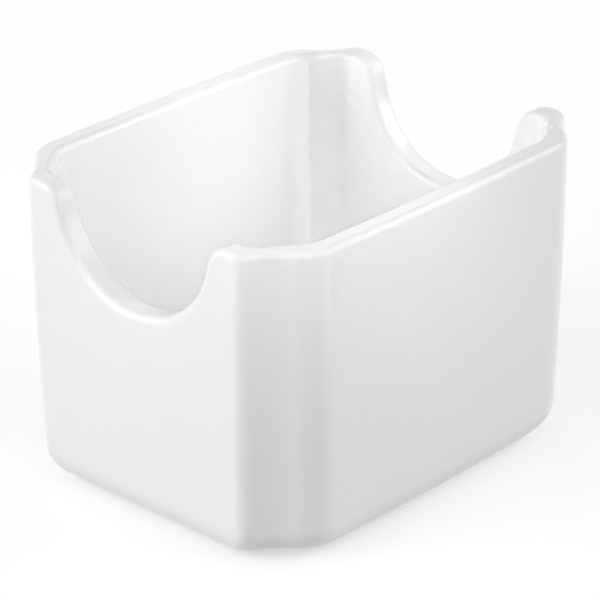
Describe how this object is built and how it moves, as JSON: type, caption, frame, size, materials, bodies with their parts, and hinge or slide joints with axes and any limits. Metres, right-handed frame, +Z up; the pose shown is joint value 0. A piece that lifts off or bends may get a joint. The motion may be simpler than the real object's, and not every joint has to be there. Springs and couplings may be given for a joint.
{
  "type": "sugar packet holder",
  "caption": "Open-topped white glazed porcelain box for sugar packets, with plain long walls, a U-shaped finger scoop in each end wall and fluted cut corners",
  "frame": {"origin": "middle of the foot, on the surface the holder stands on", "axes": "+X along the length towards an end wall with a scoop, +Y across the width towards a plain long wall, +Z up"},
  "size_m": [0.0858, 0.0694, 0.0593],
  "materials": {
    "white_glaze": "glossy white glaze",
    "bare_porcelain": "dry unglazed foot"
  },
  "bodies": {
    "root": {"foot_ring": "bare_porcelain", "floor": "white_glaze", "side_wall_front": "white_glaze", "side_wall_back": "white_glaze", "end_wall_left": "white_glaze", "end_wall_right": "white_glaze", "corner_front_left": "white_glaze", "corner_front_right": "white_glaze", "corner_back_left": "white_glaze", "corner_back_right": "white_glaze"}
  },
  "joints": []
}
